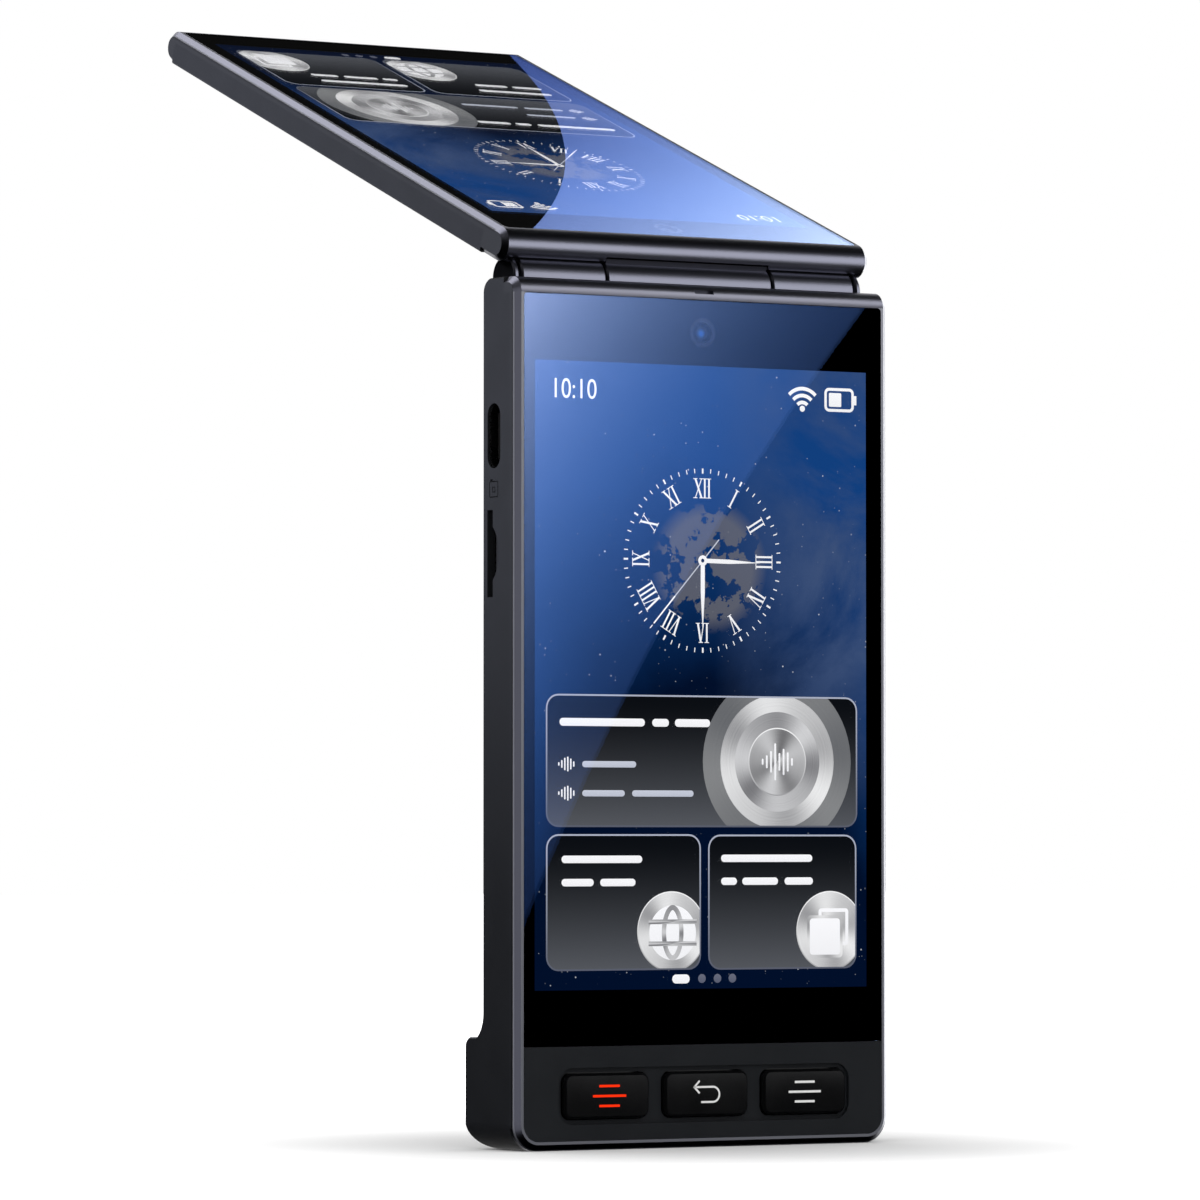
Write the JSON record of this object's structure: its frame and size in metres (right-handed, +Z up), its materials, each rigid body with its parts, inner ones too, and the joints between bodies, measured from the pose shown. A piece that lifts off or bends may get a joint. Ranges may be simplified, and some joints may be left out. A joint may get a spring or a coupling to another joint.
{
  "type": "handheld translator",
  "caption": "Handheld two-screen voice translator: an upright slab body with a thick coved chin and push keys, and a second screen on a friction hinge that folds flat on its back.",
  "frame": {"origin": "middle of the flat bottom face that the body stands on", "axes": "+Z up along the body, +X to the right seen from the front screen, +Y to the back"},
  "size_m": [0.0635, 0.1058, 0.1674],
  "materials": {
    "polished_dark_metal": "satin dark grey metal with a bluish sheen",
    "housing_plastic": "fine matte charcoal",
    "key_plastic": "smooth black",
    "screen_glass": "clear cover glass",
    "lens_glass": "coated lens",
    "screen_picture": "lit screen with a deep blue picture",
    "steel_sheet": "bare stainless sheet",
    "tray_plastic": "white moulded tray",
    "aluminium_plate": "bare stamped plate",
    "screw_steel": "turned steel",
    "soft_rubber": "moulded silicone",
    "circuit_board": "green solder mask",
    "flex_ribbon": "amber polyimide",
    "battery_wrap": "wrapped pouch cell"
  },
  "bodies": {
    "body": {"front_bezel": "polished_dark_metal", "main_housing": "housing_plastic", "front_glass": "screen_glass", "display_panel": "screen_picture", "display_backlight": "tray_plastic", "chassis_plate": "aluminium_plate", "chassis_screws": "screw_steel", "hinge_screws": "screw_steel", "board_screws": "screw_steel", "key_plate": "key_plastic", "key_membrane": "soft_rubber", "key_switches": "steel_sheet", "key_board": "circuit_board", "microphone": "steel_sheet", "battery": "battery_wrap", "battery_lead": "flex_ribbon", "main_board": "circuit_board", "shield_cans": "steel_sheet", "board_chips": "key_plastic", "display_flex": "flex_ribbon", "key_flex": "flex_ribbon", "wifi_antenna": "flex_ribbon", "usb_port_shell": "steel_sheet", "usb_tongue": "key_plastic", "card_socket": "steel_sheet", "side_switches": "key_plastic", "front_camera": "key_plastic", "camera_lens": "lens_glass", "speaker": "key_plastic", "speaker_gasket": "soft_rubber", "body_magnets": "screw_steel", "hinge_sleeve_left": "polished_dark_metal", "hinge_sleeve_right": "polished_dark_metal", "hinge_leaf_left": "steel_sheet", "hinge_leaf_right": "steel_sheet", "hinge_cap_left": "polished_dark_metal", "hinge_cap_right": "polished_dark_metal"},
    "lid": {"lid_frame": "polished_dark_metal", "lid_back_cover": "housing_plastic", "lid_glass": "screen_glass", "lid_display_panel": "screen_picture", "lid_backlight": "tray_plastic", "lid_camera": "key_plastic", "lid_camera_lens": "lens_glass", "lid_screws": "screw_steel", "lid_board": "circuit_board", "lid_ribbon": "flex_ribbon", "lid_magnets": "screw_steel", "hinge_knuckle": "polished_dark_metal", "hinge_pin_left": "screw_steel", "hinge_pin_right": "screw_steel", "friction_washers": "screw_steel", "pin_nuts": "screw_steel"},
    "left_talk_key": {"left_talk_key": "key_plastic"},
    "home_key": {"home_key": "key_plastic"},
    "right_talk_key": {"right_talk_key": "key_plastic"},
    "power_key": {"power_key": "housing_plastic"},
    "volume_rocker": {"volume_rocker": "housing_plastic"}
  },
  "joints": [
    {"name": "lid_hinge", "type": "hinge", "parent": "body", "child": "lid", "pos_m": [0, 0.00005, 0.1232], "axis": [1, 0, 0], "range_deg": [-111, 49]},
    {"name": "left_talk_key_press", "type": "slide", "parent": "body", "child": "left_talk_key", "axis": [0, 1, 0], "range_m": [0, 0.0004], "stiffness_N_per_m": 800, "springref_m": -0.0003},
    {"name": "home_key_press", "type": "slide", "parent": "body", "child": "home_key", "axis": [0, 1, 0], "range_m": [0, 0.0004], "stiffness_N_per_m": 800, "springref_m": -0.0003},
    {"name": "right_talk_key_press", "type": "slide", "parent": "body", "child": "right_talk_key", "axis": [0, 1, 0], "range_m": [0, 0.0004], "stiffness_N_per_m": 800, "springref_m": -0.0003},
    {"name": "power_key_press", "type": "slide", "parent": "body", "child": "power_key", "axis": [-1, 0, 0], "range_m": [0, 0.0003], "stiffness_N_per_m": 800, "springref_m": -0.0003},
    {"name": "volume_rocker_tilt", "type": "hinge", "parent": "body", "child": "volume_rocker", "pos_m": [0.0295, -0.0019, 0.088], "axis": [0, 1, 0], "range_deg": [-1.8, 1.8], "stiffness_Nm_per_rad": 0.06}
  ]
}
